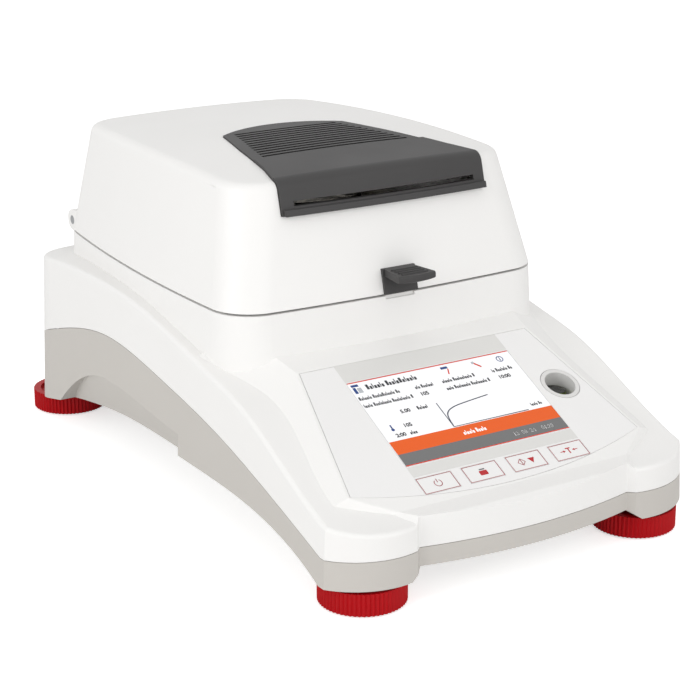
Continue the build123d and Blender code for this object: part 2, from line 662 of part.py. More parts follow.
def touch_screen():
    half = SCREEN_W / 2 - FIT_GAP
    pane = console_block(-half, half, SCREEN_TOP + FIT_GAP, SCREEN_TOP + SCREEN_H - FIT_GAP, 0, WALL)
    return pane


def display_module():
    """Display under the screen: framed panel with its driver board and plug."""
    half = SCREEN_W / 2 + DISPLAY_RIM
    top, low = SCREEN_TOP - DISPLAY_RIM, SCREEN_TOP + SCREEN_H + DISPLAY_RIM
    back = WALL + DISPLAY_T
    module = console_block(-half, half, top, low, WALL, back)
    module -= console_block(-half + 2, half - 2, top + 2, low - 2, back - 2, back + 1)
    return module + console_block(-10, 10, low - 12, low - 6, back - 3, back + 1)


def main_board():
    """Control board under the console, on four posts, with its chips and plugs."""
    below = BOARD_DEPTH + BOARD_T
    board = console_block(-BOARD_HALF_W, BOARD_HALF_W, BOARD_START, BOARD_END, BOARD_DEPTH, below)
    board -= console_rod(LEVEL_X, LEVEL_DOWN, 0, 30, LEVEL_WELL_R + 3)
    board += console_block(-12, 12, 30, 54, below, below + 2)
    board += console_block(-44, -30, 26, 36, below, below + 1.5)
    board += console_block(-44, -28, 50, 60, below, below + 1.5)
    board += console_block(24, 44, 24, 30, below, below + 7)
    board += console_block(-24, 24, 78, 84, below, below + 5)
    for u in (28, 38):
        board += console_rod(u, 66, below, below + 9, 3.5)
    return board


def key(x):
    """Key pad with its stem down to the switch on the board."""
    half = KEY_W / 2 - KEY_SIDE_GAP
    top, low = KEY_TOP + KEY_SIDE_GAP, KEY_TOP + KEY_H - KEY_SIDE_GAP
    down = (top + low) / 2
    pad = console_block(x - half, x + half, top, low, 0, KEY_PAD_T)
    return pad + console_rod(x, down, KEY_PAD_T, BOARD_DEPTH - KEY_TRAVEL - KEY_SIDE_GAP, KEY_STEM_R)


def level_seat_z():
    """Height of the level seat inside its well."""
    return (console_plane(LEVEL_DEPTH - 6) * Pos(LEVEL_X, -LEVEL_DOWN, 0)).position.Z


def level_ring():
    """Rim and well of the spirit level, with a level floor inside."""
    rim = console_rod(LEVEL_X, LEVEL_DOWN, 0, OVERLAY_T + 0.8 - RUN_GAP, LEVEL_RIM_R)
    well = console_rod(LEVEL_X, LEVEL_DOWN, 0.5, LEVEL_DEPTH, LEVEL_WELL_R)
    bore = console_rod(LEVEL_X, LEVEL_DOWN, -1, LEVEL_DEPTH + 20, LEVEL_BORE_R)
    return rim + well - (bore & block(-FAR, FAR, -FAR, FAR, level_seat_z(), FAR))


def level_vial():
    """Round spirit level that stands upright in the well."""
    place = console_plane(LEVEL_DEPTH - 6) * Pos(LEVEL_X, -LEVEL_DOWN, 0)
    x, y, z = place.position
    cup = rod(x, y, z, z + VIAL_H, VIAL_R)
    lens = Pos(x, y, z + VIAL_H - 16) * Sphere(16.6)
    return (cup & lens)


def chamber_tray():
    """Drawn metal tray of the weighing chamber, flange in the deck's recess."""
    top = SEAM_Z - SEAM_GAP / 2 - RUN_GAP
    r, t = CHAMBER_R, SHEET
    low = CHAMBER_FLOOR_Z
    return turned([(SPINDLE_HOLE_R, low), (r, low), (r, top - t), (r + FLANGE_W, top - t),
                   (r + FLANGE_W, top), (r - t, top), (r - t, low + t), (SPINDLE_HOLE_R, low + t)])


def heat_shield():
    """Outer can under the tray that keeps the heat from the weighing cell."""
    top = SEAM_Z - SEAM_GAP / 2 - DECK_T
    r, t = CAN_R, SHEET
    low = CAN_FLOOR_Z
    return turned([(SPINDLE_HOLE_R, low), (r, low), (r, top - t), (r + 5, top - t), (r + 5, top),
                   (r - t, top), (r - t, low + t), (SPINDLE_HOLE_R, low + t)])


def tray_stands():
    """Short spacers between the tray's floor and the can's floor."""
    r = DRAFT_RING_IN_R
    return [rod(r * cos(a), CHAMBER_Y + r * sin(a), CAN_FLOOR_Z + SHEET, CHAMBER_FLOOR_Z, 3)
            for a in (pi / 2, pi * 7 / 6, pi * 11 / 6)]


def draft_shield():
    """Lift-out ring round the pan that keeps draughts off, with a floor rim."""
    low = CHAMBER_FLOOR_Z + SHEET + FIT_GAP
    r, t = DRAFT_RING_R, SHEET
    return turned([(DRAFT_RING_IN_R, low), (r, low), (r, DRAFT_RING_TOP_Z), (r + 1.5, DRAFT_RING_TOP_Z),
                   (r + 1.5, DRAFT_RING_TOP_Z + t), (r - t, DRAFT_RING_TOP_Z + t), (r - t, low + t),
                   (DRAFT_RING_IN_R, low + t)])


def pan_handler():
    """Lifting ring under the pan's rim, on three legs, with a grip in front."""
    top = PAN_RIM_Z - PAN_T - LIFT_GAP
    low = CHAMBER_FLOOR_Z + 2 * SHEET + 2 * FIT_GAP
    t = 1.4
    hoop = ring(0, CHAMBER_Y, top - t, top, HANDLER_OUT_R, HANDLER_IN_R)
    middle = (HANDLER_IN_R + HANDLER_OUT_R) / 2
    for a in (pi / 2, pi * 7 / 6, pi * 11 / 6):
        hoop += rod(middle * cos(a), CHAMBER_Y + middle * sin(a), low, top - t / 2, HANDLER_LEG_R)
    reach = DRAFT_RING_R - 3 * SHEET
    arm = block(-7, 7, CHAMBER_Y - reach, CHAMBER_Y - middle, top - t, top)
    grip = block(-7, 7, CHAMBER_Y - reach, CHAMBER_Y - reach + t, top - t, top + 5)
    return hoop + arm + grip


def sample_pan():
    """Disposable dish with a drawn wall and a flat rim."""
    low, top, t = PAN_FLOOR_Z, PAN_RIM_Z, PAN_T
    outside = [(0, low), (PAN_R - 1.5, low), (PAN_R, low + 1.5), (PAN_R, top - t), (PAN_RIM_R, top - t)]
    inside = [(PAN_RIM_R, top), (PAN_R - t, top), (PAN_R - t, low + 2), (PAN_R - 2, low + t), (0, low + t)]
    return turned(outside + inside)


def pan_support():
    """Three-armed cross that carries the pan, on the spindle."""
    low = SUPPORT_TOP_Z - 2
    hub = rod(0, CHAMBER_Y, low - 4, SUPPORT_TOP_Z, SPINDLE_R + 3)
    for a in (90, 210, 330):
        arm = Pos(0, CHAMBER_Y, 0) * Rot(0, 0, a) * block(0, SUPPORT_R - 3, -2.5, 2.5, low, SUPPORT_TOP_Z)
        tip = Pos(0, CHAMBER_Y, 0) * Rot(0, 0, a) * rod(SUPPORT_R - 4, 0, low, SUPPORT_TOP_Z, 4)
        hub += arm + tip
    return hub - rod(0, CHAMBER_Y, low - 10, SUPPORT_TOP_Z - 1, SPINDLE_R + RUN_GAP)


def spindle():
    """Post that carries the load from the pan support down to the weighing cell."""
    foot = CELL_Z + CELL_H + 0.7
    post = rod(0, CHAMBER_Y, foot, SUPPORT_TOP_Z - 1 - RUN_GAP, SPINDLE_R)
    return post + rod(0, CHAMBER_Y, foot, foot + 3, 10) + rod(0, CHAMBER_Y, foot + 3, foot + 6, 6.5)


def load_cell():
    """Bending-beam weighing cell: a bar with a double bore that makes two thin flexures."""
    y0, y1 = CELL_FRONT_Y, CELL_FRONT_Y + CELL_L
    bar = block(-CELL_W / 2, CELL_W / 2, y0, y1, CELL_Z, CELL_Z + CELL_H)
    middle_y = (y0 + y1) / 2
    middle_z = CELL_Z + CELL_H / 2
    for s in (1, -1):
        bar -= cross_rod(0, middle_y + s * CELL_HOLE_SPAN / 2, middle_z, 2 * CELL_W, CELL_HOLE_R)
    half = CELL_HOLE_SPAN / 2
    return bar - block(-CELL_W, CELL_W, middle_y - half, middle_y + half, middle_z - 2, middle_z + 2)


def load_cell_frame():
    """Plate on four posts with the riser that clamps the cell's fixed end, and a stop screw."""
    y0, y1 = CELL_FRONT_Y, CELL_FRONT_Y + CELL_L
    top = FRAME_Z + FRAME_T
    half_slot = CELL_W / 2 - 4
    plate = block(-FRAME_HALF_W, FRAME_HALF_W, y0 - 4 - POST_R, y1 + POST_R, FRAME_Z, top)
    plate -= block(-half_slot, half_slot, y0 + CELL_FIXED_L + 8, y1 - 24, FRAME_Z - 1, top + 1)
    riser = block(-CELL_W / 2, CELL_W / 2, y0, y0 + CELL_FIXED_L, top, CELL_Z)
    stop = rod(0, CHAMBER_Y, top, CELL_Z - 0.5, 3)
    return plate + riser + stop


def supply_board():
    """Mains supply board behind the sockets: transformer, capacitors, cooling fins, fuse."""
    z = SUPPLY_Z + BOARD_T
    board = block(-SUPPLY_HALF_W, SUPPLY_HALF_W, SUPPLY_FRONT_Y, SUPPLY_REAR_Y, SUPPLY_Z, z)
    board += block(-34, -4, 96, 126, z, z + 24)
    for y in (100, 116):
        board += rod(10, y, z, z + 18, 6)
    for i in range(5):
        board += block(26 + 5 * i, 28 + 5 * i, 96, 128, z, z + 20)
    board += block(26, 48, 96, 128, z, z + 3)
    return board + cross_rod(-28, 134, z + 2.5, 20, 3)


def lid_shell():
    """White lid: walls leaning in, domed top, opening for the vent cover, hinge knuckles."""
    shell = lid_form() - lid_form(WALL, SEAM_Z - 5)
    shell -= vent_region(0.0)
    for s in (1, -1):
        for t in (1, -1):
            shell += lid_knuckle(s * HINGE_X + t * (KNUCKLE_L + HINGE_SIDE_GAP))
        shell -= cross_rod(s * HINGE_X, HINGE_Y, SEAM_Z, 3 * KNUCKLE_L + 2, HINGE_PIN_R + RUN_GAP)
    for x, y in liner_posts():
        shell += rod(x, y, LINER_Z + LINER_T, LINER_Z + 24, BOSS_R) & lid_form()
    return shell


def liner_posts():
    """Screw posts in the corners of the lid."""
    return [(s * 80, -49) for s in (1, -1)] + [(s * 68, 140) for s in (1, -1)]


def lid_knuckle(x):
    """Moving hinge knuckle with its arm on the lid's rear wall."""
    half = KNUCKLE_L / 2
    arm = block(x - half, x + half, TOWER_REAR_Y - WALL, HINGE_Y, SEAM_Z + 1.5, SEAM_Z + HINGE_R)
    return cross_rod(x, HINGE_Y, SEAM_Z, KNUCKLE_L, HINGE_R) + arm


def vent_region(margin):
    """Upright prism over the vent cover's outline, cut off above the lid's front wall."""
    right = [(x - margin, y) for x, y in VENT_LINE]
    x1, y1 = right[-1]
    rear_y = y1 - margin
    edges = [Edge.make_line(a, b) for a, b in zip(right, right[1:])]
    edges += [Edge.make_line((-a[0], a[1]), (-b[0], b[1])) for a, b in zip(right, right[1:])]
    edges.append(Edge.make_line(right[0], (-right[0][0], right[0][1])))
    edges.append(Edge.make_three_point_arc((x1, rear_y), (0, VENT_REAR_Y - margin), (-x1, rear_y)))
    if margin:
        edges.append(Edge.make_line((x1, y1), (x1, rear_y)))
        edges.append(Edge.make_line((-x1, y1), (-x1, rear_y)))
    return extrude(Pos(0, 0, VENT_FOOT_Z + margin) * make_face(edges), amount=FAR)


def vent_cover():
    """Dark louvred cover that rolls over the lid's front edge, with a lip at its foot."""
    skin = lid_form(-VENT_PROUD) - lid_form(VENT_T - VENT_PROUD)
    cover = skin & vent_region(FIT_GAP)
    flange = lid_form(WALL + RUN_GAP) - lid_form(WALL + RUN_GAP + 1.5)
    flange = flange & vent_region(-VENT_FLANGE)
    flange -= vent_region(VENT_FLANGE)
    skirt = (lid_form(0.5) - lid_form(WALL + 1.5)) & (vent_region(FIT_GAP) - vent_region(FIT_GAP + 2))
    cover += skirt + flange
    step = lid_form(-VENT_PROUD) - lid_form(-VENT_PROUD + VENT_STEP)
    cover -= step & block(-FAR, FAR, VENT_CREASE_Y, FAR, 0, FAR)
    half_foot = VENT_LINE[0][0]
    lip_z = VENT_FOOT_Z + 0.5
    lip = lid_form(-VENT_PROUD - VENT_LIP_PROUD) - lid_form(-VENT_PROUD + 1)
    cover += lip & block(-half_foot + 1, half_foot - 1, -FAR, 0, lip_z, lip_z + VENT_LIP_H)
    slot_z = lip_z + VENT_LIP_H + 1
    half_slot = half_foot - 7
    cover -= block(-half_slot, half_slot, -FAR, VENT_LINE[1][1], slot_z, slot_z + VENT_FRONT_SLOT_H)
    for i in range(VENT_SLOT_COUNT):
        y = VENT_SLOT_FIRST_Y + i * VENT_SLOT_PITCH
        half = vent_half(y) - VENT_SLOT_MARGIN
        cover -= Pos(0, y, LID_EDGE_Z) * Rot(30, 0, 0) * Box(2 * half, VENT_SLOT_W, 30)
    return cover


def vent_half(y):
    """Half width of the vent cover at y."""
    for (xa, ya), (xb, yb) in zip(VENT_LINE, VENT_LINE[1:]):
        if ya <= y <= yb:
            return xa + (xb - xa) * (y - ya) / (yb - ya)
    x_end, y_end = VENT_LINE[-1]
    return x_end * (1 - (y - y_end) / (VENT_REAR_Y - y_end))


def lid_handle():
    """Handle: a plate on the lid's front wall with a ribbed tab along its top."""
    foot_z = SEAM_Z + SEAM_GAP / 2
    plate = lid_form(-HANDLE_PLATE_T, foot_z, False) - lid_form(0.0, foot_z - 1, False)
    plate = plate & block(-HANDLE_HALF_W, HANDLE_HALF_W, -FAR, 0, foot_z, HANDLE_TOP_Z)
    rise = (HANDLE_TOP_Z - SEAM_Z) / (LID_EDGE_Z - SEAM_Z)
    root_y = TOWER_FRONT_Y + LID_FRONT_LEAN * rise - HANDLE_PLATE_T
    tip_y = TOWER_FRONT_Y - HANDLE_REACH
    bow = 2.0
    edges = [Edge.make_line((-HANDLE_ROOT_HALF_W, root_y), (HANDLE_ROOT_HALF_W, root_y)),
             Edge.make_line((HANDLE_ROOT_HALF_W, root_y), (HANDLE_FRONT_HALF_W, tip_y + bow)),
             Edge.make_line((-HANDLE_ROOT_HALF_W, root_y), (-HANDLE_FRONT_HALF_W, tip_y + bow)),
             Edge.make_three_point_arc((-HANDLE_FRONT_HALF_W, tip_y + bow), (0, tip_y),
                                       (HANDLE_FRONT_HALF_W, tip_y + bow))]
    tab_z = HANDLE_TOP_Z - HANDLE_T
    tab = extrude(Pos(0, 0, tab_z) * make_face(edges), amount=HANDLE_T)
    front = [e for e in tab.edges() if e.center().Y < tip_y + bow + 0.1 and e.length > HANDLE_T + 1]
    tab = fillet(front, 1.2)
    for i in range(HANDLE_RIBS):
        y = tip_y + 4.5 + i * 3
        tab += cross_rod(0, y, HANDLE_TOP_Z, 2 * HANDLE_ROOT_HALF_W - 2, 0.7)
    return plate + tab


def lid_liner():
    """Metal underside of the lid: a plate with a round well up to the glass."""
    low = LINER_Z
    t = LINER_T
    inset = WALL + FIT_GAP + 0.6
    outline = barrel_outline(inset, inset, inset, TOWER_CORNER_R - inset)
    plate = extrude(Pos(0, 0, low) * outline, amount=t)
    plate -= rod(0, CHAMBER_Y, low - 1, low + 5, WELL_R - t / 2)
    top = GLASS_Z - FIT_GAP
    well = turned([(WELL_R - t, low), (WELL_R, low), (WELL_R, top), (GLASS_SEAT_R, top),
                   (GLASS_SEAT_R, top - t), (WELL_R - t, top - t)])
    return plate + well


def protective_glass():
    return rod(0, CHAMBER_Y, GLASS_Z, GLASS_Z + GLASS_T, GLASS_R)


def glass_ring():
    """Ring that holds the glass down on its seat."""
    top = GLASS_Z + GLASS_T + FIT_GAP
    low = GLASS_Z - FIT_GAP
    return turned([(GLASS_SEAT_R, top), (GLASS_R + FIT_GAP, top), (GLASS_R + FIT_GAP, low), (WELL_R, low),
                   (WELL_R, top + SHEET), (GLASS_SEAT_R, top + SHEET)])


def reflector():
    """Bright bowl above the ring lamp, flanged onto the glass ring."""
    low = GLASS_Z + GLASS_T + FIT_GAP + SHEET
    t = REFLECTOR_T
    top = REFLECTOR_TOP_Z
    outside = [(GLASS_SEAT_R, low), (WELL_R, low), (WELL_R, low + t), (GLASS_SEAT_R + 1.5, low + t),
               (REFLECTOR_TOP_R + 18, top - 8), (REFLECTOR_TOP_R, top + t), (0, top + t)]
    inside = [(0, top), (REFLECTOR_TOP_R - 0.3, top), (REFLECTOR_TOP_R + 17.4, top - 8.6),
              (GLASS_SEAT_R, low + t)]
    bowl = turned(outside + inside)
    for s in (1, -1):
        bowl -= rod(s * LAMP_END_X, LAMP_END_Y, top - 20, top + 4, 3.6)
    return bowl


def ring_lamp():
    """Halogen ring lamp with its two upright ends."""
    lamp = Pos(0, CHAMBER_Y, LAMP_Z) * Torus(LAMP_R, LAMP_TUBE_R)
    lamp -= block(-10, 10, CHAMBER_Y + LAMP_R - 12, CHAMBER_Y + LAMP_R + 12, LAMP_Z - 9, LAMP_Z + 9)
    for s in (1, -1):
        lamp += rod(s * LAMP_END_X, LAMP_END_Y, LAMP_Z, REFLECTOR_TOP_Z + 3, 3)
        lamp += Pos(s * LAMP_END_X, LAMP_END_Y, LAMP_Z) * Sphere(LAMP_TUBE_R)
    return lamp


def lamp_sockets():
    """Two ceramic sockets on top of the reflector."""
    sockets = []
    for s in (1, -1):
        z = REFLECTOR_TOP_Z + REFLECTOR_T
        socket = rod(s * LAMP_END_X, LAMP_END_Y, z, z + 9, 6.5)
        socket -= rod(s * LAMP_END_X, LAMP_END_Y, z - 1, z + 3, 3 + RUN_GAP)
        sockets.append(socket)
    return sockets


def temperature_probe():
    """Sensor that reaches from the well's wall over the edge of the pan."""
    wall_y = CHAMBER_Y + WELL_R - LINER_T
    length = WELL_R - LINER_T - PROBE_TIP_R
    probe = Pos(0, wall_y - length / 2, PROBE_Z) * Rot(90, 0, 0) * Cylinder(1.5, length)
    clip = block(-4, 4, wall_y - 2.4, wall_y - 1.0, PROBE_Z - 4, PROBE_Z + 4)
    return probe + clip


def hinge_pin(x):
    length = 3 * KNUCKLE_L + 2 * HINGE_SIDE_GAP
    return cross_rod(x, HINGE_Y, SEAM_Z, length, HINGE_PIN_R)


def foot_pad(x, y):
    """Rubber pad with the pivot that the wheel turns on."""
    pad = rod(x, y, 0, PAD_H, PAD_R)
    pad = fillet(pad.edges().group_by(Axis.Z)[0], 0.8)
    return pad + rod(x, y, PAD_H, PIVOT_TOP_Z, PIVOT_R)


def foot_wheel(x, y):
    """Ribbed levelling wheel with its threaded stem."""
    points = []
    for i in range(WHEEL_RIBS):
        a = 2 * pi * i / WHEEL_RIBS
        b = a + 0.35 * 2 * pi / WHEEL_RIBS
        r_low = WHEEL_R - WHEEL_RIB_DEPTH
        points.append((WHEEL_R * cos(a), WHEEL_R * sin(a)))
        points.append((r_low * cos(b), r_low * sin(b)))
    wheel = extrude(Pos(x, y, WHEEL_FOOT_Z) * make_face(Polyline(*points, close=True).edges()),
                    amount=WHEEL_TOP_Z - WHEEL_FOOT_Z)
    wheel -= ring(x, y, WHEEL_TOP_Z - 2, WHEEL_TOP_Z + 1, WHEEL_R - 4, STEM_R + 4)
    wheel -= rod(x, y, 0, PAD_H + RUN_GAP, PAD_R + FIT_GAP)
    wheel += rod(x, y, WHEEL_TOP_Z - 1, STEM_TOP_Z, STEM_R)
    return wheel - rod(x, y, 0, PIVOT_TOP_Z + FIT_GAP, PIVOT_R + RUN_GAP)


def foot_nuts():
    nuts = []
    for x, y in FEET.values():
        nut = extrude(Pos(x, y, NUT_Z) * RegularPolygon(NUT_R, 6), amount=NUT_H)
        nuts.append(nut - rod(x, y, 0, 40, STEM_R + RUN_GAP))
    return nuts


def housing_screws():
    screws = []
    for x, y, seat in screw_places():
        top = height_on(SPLIT_LINE, y) + SCREW_BITE
        screw = rod(x, y, seat - SCREW_HEAD_H, seat, SCREW_HEAD_R) + rod(x, y, seat, top, SCREW_R)
        slot = block(x - SCREW_HEAD_R, x + SCREW_HEAD_R, y - 0.4, y + 0.4, seat - SCREW_HEAD_H - 1,
                     seat - SCREW_HEAD_H + 1)
        screws.append(screw - slot)
    return screws


def lid_screws():
    """Screws that hold the metal liner to the lid's posts."""
    screws = []
    for x, y in liner_posts():
        screws.append(rod(x, y, LINER_Z - 0.6, LINER_Z, 3))
    return screws


def build_parts():
    parts["base_shell"] = base_shell()
    parts["top_housing"] = top_housing()
    parts["console_overlay"] = overlay()
    parts["touch_screen"] = touch_screen()
    parts["display_module"] = display_module()
    parts["main_board"] = main_board()
    for name, x in zip(KEY_NAMES, key_places()):
        parts[name] = key(x)
    parts["level_ring"] = level_ring()
    parts["level_vial"] = level_vial()
    parts["chamber_tray"] = chamber_tray()
    parts["heat_shield"] = heat_shield()
    parts["tray_stands"] = Compound(children=tray_stands())
    parts["draft_shield"] = draft_shield()
    parts["pan_handler"] = pan_handler()
    parts["sample_pan"] = sample_pan()
    parts["pan_support"] = pan_support()
    parts["spindle"] = spindle()
    parts["load_cell"] = load_cell()
    parts["load_cell_frame"] = load_cell_frame()
    parts["supply_board"] = supply_board()
    parts["power_inlet"] = power_inlet()
    for name, sizes in zip(SOCKET_NAMES, DATA_SOCKETS):
        parts[name] = data_socket(*sizes)
    parts["lid_shell"] = lid_shell()
    parts["vent_cover"] = vent_cover()
    parts["lid_handle"] = lid_handle()
    parts["lid_liner"] = lid_liner()
    parts["lid_screws"] = Compound(children=lid_screws())
    parts["protective_glass"] = protective_glass()
    parts["glass_ring"] = glass_ring()
    parts["reflector"] = reflector()
    parts["ring_lamp"] = ring_lamp()
    parts["lamp_sockets"] = Compound(children=lamp_sockets())
    parts["temperature_probe"] = temperature_probe()
    parts["hinge_pins"] = Compound(children=[hinge_pin(s * HINGE_X) for s in (1, -1)])
    for name, (x, y) in FEET.items():
        parts["foot_pad_" + name] = foot_pad(x, y)
        parts["foot_wheel_" + name] = foot_wheel(x, y)
    parts["foot_nuts"] = Compound(children=foot_nuts())
    parts["housing_screws"] = Compound(children=housing_screws())


build_parts()
os.makedirs("parts", exist_ok=True)
for node, shape in parts.items():
    export_step(shape, "parts/" + node + ".step")
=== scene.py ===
"""Looks of the moisture analyzer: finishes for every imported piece, the printed console and the studio."""
import bpy
import json
from math import cos, sin, radians, pi
from mathutils import Matrix, Vector


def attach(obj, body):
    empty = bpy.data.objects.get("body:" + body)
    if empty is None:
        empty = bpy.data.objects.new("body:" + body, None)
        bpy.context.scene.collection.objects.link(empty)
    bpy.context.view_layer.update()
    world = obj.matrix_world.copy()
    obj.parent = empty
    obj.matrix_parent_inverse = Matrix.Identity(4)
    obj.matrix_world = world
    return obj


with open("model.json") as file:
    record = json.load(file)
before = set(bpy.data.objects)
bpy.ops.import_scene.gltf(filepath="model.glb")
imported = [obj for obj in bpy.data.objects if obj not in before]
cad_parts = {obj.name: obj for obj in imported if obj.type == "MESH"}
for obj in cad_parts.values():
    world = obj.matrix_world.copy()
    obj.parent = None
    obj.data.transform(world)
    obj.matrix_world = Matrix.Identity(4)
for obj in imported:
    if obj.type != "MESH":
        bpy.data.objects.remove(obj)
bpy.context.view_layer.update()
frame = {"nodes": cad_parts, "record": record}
bpy.ops.object.select_all(action="DESELECT")

MM = 0.001

# Console: slope, origin and half the screen's width in m; key places and frame in mm on the slope
CONSOLE_TILT = radians(26.5)
CONSOLE_ORIGIN = Vector((0, -0.0797, 0.0848))
SCREEN_HALF = 0.048
KEY_MIDDLES = {"power": -38.1, "print": -12.7, "start": 12.7, "tare": 38.1}
KEY_DOWN = 84.25
KEY_FRAME = (19.3, 9.8)

# Printed films, in mm: how far they stand off the console, and how thick they are; a drawn line is
# flattened to a part of its height
LIFT = 0.02
FILM = 0.05
THIN_FILM = 0.04
STROKE_LIFT = 0.04
STROKE_FLATNESS = 0.08
LETTER_LIFT = 0.05

# Shared effects: the part of a noise's range that is used, its darker tint, and the depth of its relief
NOISE_LOW, NOISE_HIGH = 0.3, 0.7
SHADE_TINT = (0.55, 0.54, 0.52, 1)
RELIEF_DEPTH = 0.05 * MM

# Studio: level of the surroundings' light, the floor's glow, and the lamps' size, places and watts
PLAIN_LIGHT = 0.64
FLOOR_SIZE = 12
FLOOR_GLOW = 0.6
LAMP_WIDTH = 1.2
LAMPS = [("front_lamp", (0.2, -1.6, 0.7), (0, 0, 0.08), 7),
         ("left_lamp", (-1.7, -0.3, 0.8), (0, 0, 0.08), 11),
         ("top_lamp", (0.1, -0.2, 1.9), (0, 0, 0.1), 2)]
CAMERA_PLACE = (-0.5029, -0.8110, 0.3700)
CAMERA_TURN = (radians(72.13), radians(0.16), radians(-32.51))
CAMERA_LENS = 97.06


# Colours

def paint(code):
    """Colour from a hex code, as the linear values that a shader takes."""
    channels = [int(code[i:i + 2], 16) / 255 for i in (0, 2, 4)]
    linear = [c / 12.92 if c < 0.04045 else ((c + 0.055) / 1.055)**2.4 for c in channels]
    return (*linear, 1.0)


# Shared effects

def new_group(name, inputs, outputs):
    """Empty shader group with the given sockets, as (tree, its inlet, its outlet)."""
    tree = bpy.data.node_groups.new(name, "ShaderNodeTree")
    for label, kind, value in inputs:
        socket = tree.interface.new_socket(label, in_out="INPUT", socket_type="NodeSocket" + kind)
        if value is not None:
            socket.default_value = value
    for label, kind in outputs:
        tree.interface.new_socket(label, in_out="OUTPUT", socket_type="NodeSocket" + kind)
    return tree, tree.nodes.new("NodeGroupInput"), tree.nodes.new("NodeGroupOutput")


def add_noise(tree, vector, scale, detail):
    """Noise texture on a vector, with its scale from a socket or a number."""
    noise = tree.nodes.new("ShaderNodeTexNoise")
    noise.inputs["Detail"].default_value = detail
    tree.links.new(vector, noise.inputs["Vector"])
    if isinstance(scale, (int, float)):
        noise.inputs["Scale"].default_value = scale
    else:
        tree.links.new(scale, noise.inputs["Scale"])
    return noise.outputs["Fac"]


def add_range(tree, value, low, high):
    """Maps the used part of a noise onto a range given as sockets or numbers."""
    node = tree.nodes.new("ShaderNodeMapRange")
    node.inputs["From Min"].default_value = NOISE_LOW
    node.inputs["From Max"].default_value = NOISE_HIGH
    tree.links.new(value, node.inputs["Value"])
    for label, bound in (("To Min", low), ("To Max", high)):
        if isinstance(bound, (int, float)):
            node.inputs[label].default_value = bound
        else:
            tree.links.new(bound, node.inputs[label])
    return node.outputs["Result"]


def shaded(tree, colour, amount, mask):
    """Colour darkened by amount where the mask is high."""
    factor = tree.nodes.new("ShaderNodeMath")
    factor.operation = "MULTIPLY"
    tree.links.new(amount, factor.inputs[0])
    tree.links.new(mask, factor.inputs[1])
    mix = tree.nodes.new("ShaderNodeMix")
    mix.data_type = "RGBA"
    mix.blend_type = "MULTIPLY"
    tree.links.new(factor.outputs["Value"], mix.inputs["Factor"])
    tree.links.new(colour, mix.inputs["A"])
    mix.inputs["B"].default_value = SHADE_TINT
    return mix.outputs["Result"]


def surface(tree, source, outlet, pattern, height):
    """Ends a group: the pattern drives shade and gloss, and the height goes out for the relief."""
    colour = shaded(tree, source["Color"], source["Shade"], add_range(tree, pattern, 0.0, 1.0))
    rougher = tree.nodes.new("ShaderNodeMath")
    rougher.operation = "ADD"
    tree.links.new(source["Roughness"], rougher.inputs[0])
    tree.links.new(source["Roughness Spread"], rougher.inputs[1])
    roughness = add_range(tree, pattern, source["Roughness"], rougher.outputs["Value"])
    tree.links.new(colour, outlet.inputs["Color"])
    tree.links.new(roughness, outlet.inputs["Roughness"])
    tree.links.new(height, outlet.inputs["Height"])
    return tree


SURFACE_OUTPUTS = [("Color", "Color"), ("Roughness", "Float"), ("Height", "Float")]


def moulded_surface():
    """Moulded plastic: fine spark-eroded grain, and slow changes of shade and gloss."""
    inputs = [("Vector", "Vector", None), ("Color", "Color", (0.8, 0.8, 0.8, 1)), ("Shade", "Float", 0.05),
              ("Roughness", "Float", 0.4), ("Roughness Spread", "Float", 0.08),
              ("Grain Scale", "Float", 1500.0)]
    tree, inlet, outlet = new_group("moulded_surface", inputs, SURFACE_OUTPUTS)
    source = inlet.outputs
    clouds = add_noise(tree, source["Vector"], 14.0, 3.0)
    grain = add_noise(tree, source["Vector"], source["Grain Scale"], 2.0)
    return surface(tree, source, outlet, clouds, grain)


def drawn_metal():
    """Rolled or turned metal: fine lines along one direction, with a slow change of gloss."""
    inputs = [("Vector", "Vector", None), ("Color", "Color", (0.6, 0.6, 0.6, 1)), ("Shade", "Float", 0.2),
              ("Roughness", "Float", 0.25), ("Roughness Spread", "Float", 0.15),
              ("Line Scale", "Vector", (40, 900, 900))]
    tree, inlet, outlet = new_group("drawn_metal", inputs, SURFACE_OUTPUTS)
    source = inlet.outputs
    stretch = tree.nodes.new("ShaderNodeVectorMath")
    stretch.operation = "MULTIPLY"
    tree.links.new(source["Vector"], stretch.inputs[0])
    tree.links.new(source["Line Scale"], stretch.inputs[1])
    lines = add_noise(tree, stretch.outputs["Vector"], 1.0, 3.0)
    return surface(tree, source, outlet, lines, lines)


MOULDED = moulded_surface()
DRAWN = drawn_metal()


def finish(name, group, values, bump, metallic=0.0, coat=0.0):
    """Material that reads one shared effect: its colour, roughness and bump."""
    material = bpy.data.materials.new(name)
    material.use_nodes = True
    tree = material.node_tree
    shader = tree.nodes["Principled BSDF"]
    shader.inputs["Metallic"].default_value = metallic
    shader.inputs["Coat Weight"].default_value = coat
    place = tree.nodes.new("ShaderNodeTexCoord")
    effect = tree.nodes.new("ShaderNodeGroup")
    effect.node_tree = group
    for label, value in values.items():
        effect.inputs[label].default_value = value
    tree.links.new(place.outputs["Object"], effect.inputs["Vector"])
    tree.links.new(effect.outputs["Color"], shader.inputs["Base Color"])
    tree.links.new(effect.outputs["Roughness"], shader.inputs["Roughness"])
    if bump:
        relief = tree.nodes.new("ShaderNodeBump")
        relief.inputs["Strength"].default_value = bump
        relief.inputs["Distance"].default_value = RELIEF_DEPTH
        tree.links.new(effect.outputs["Height"], relief.inputs["Height"])
        tree.links.new(relief.outputs["Normal"], shader.inputs["Normal"])
    return material


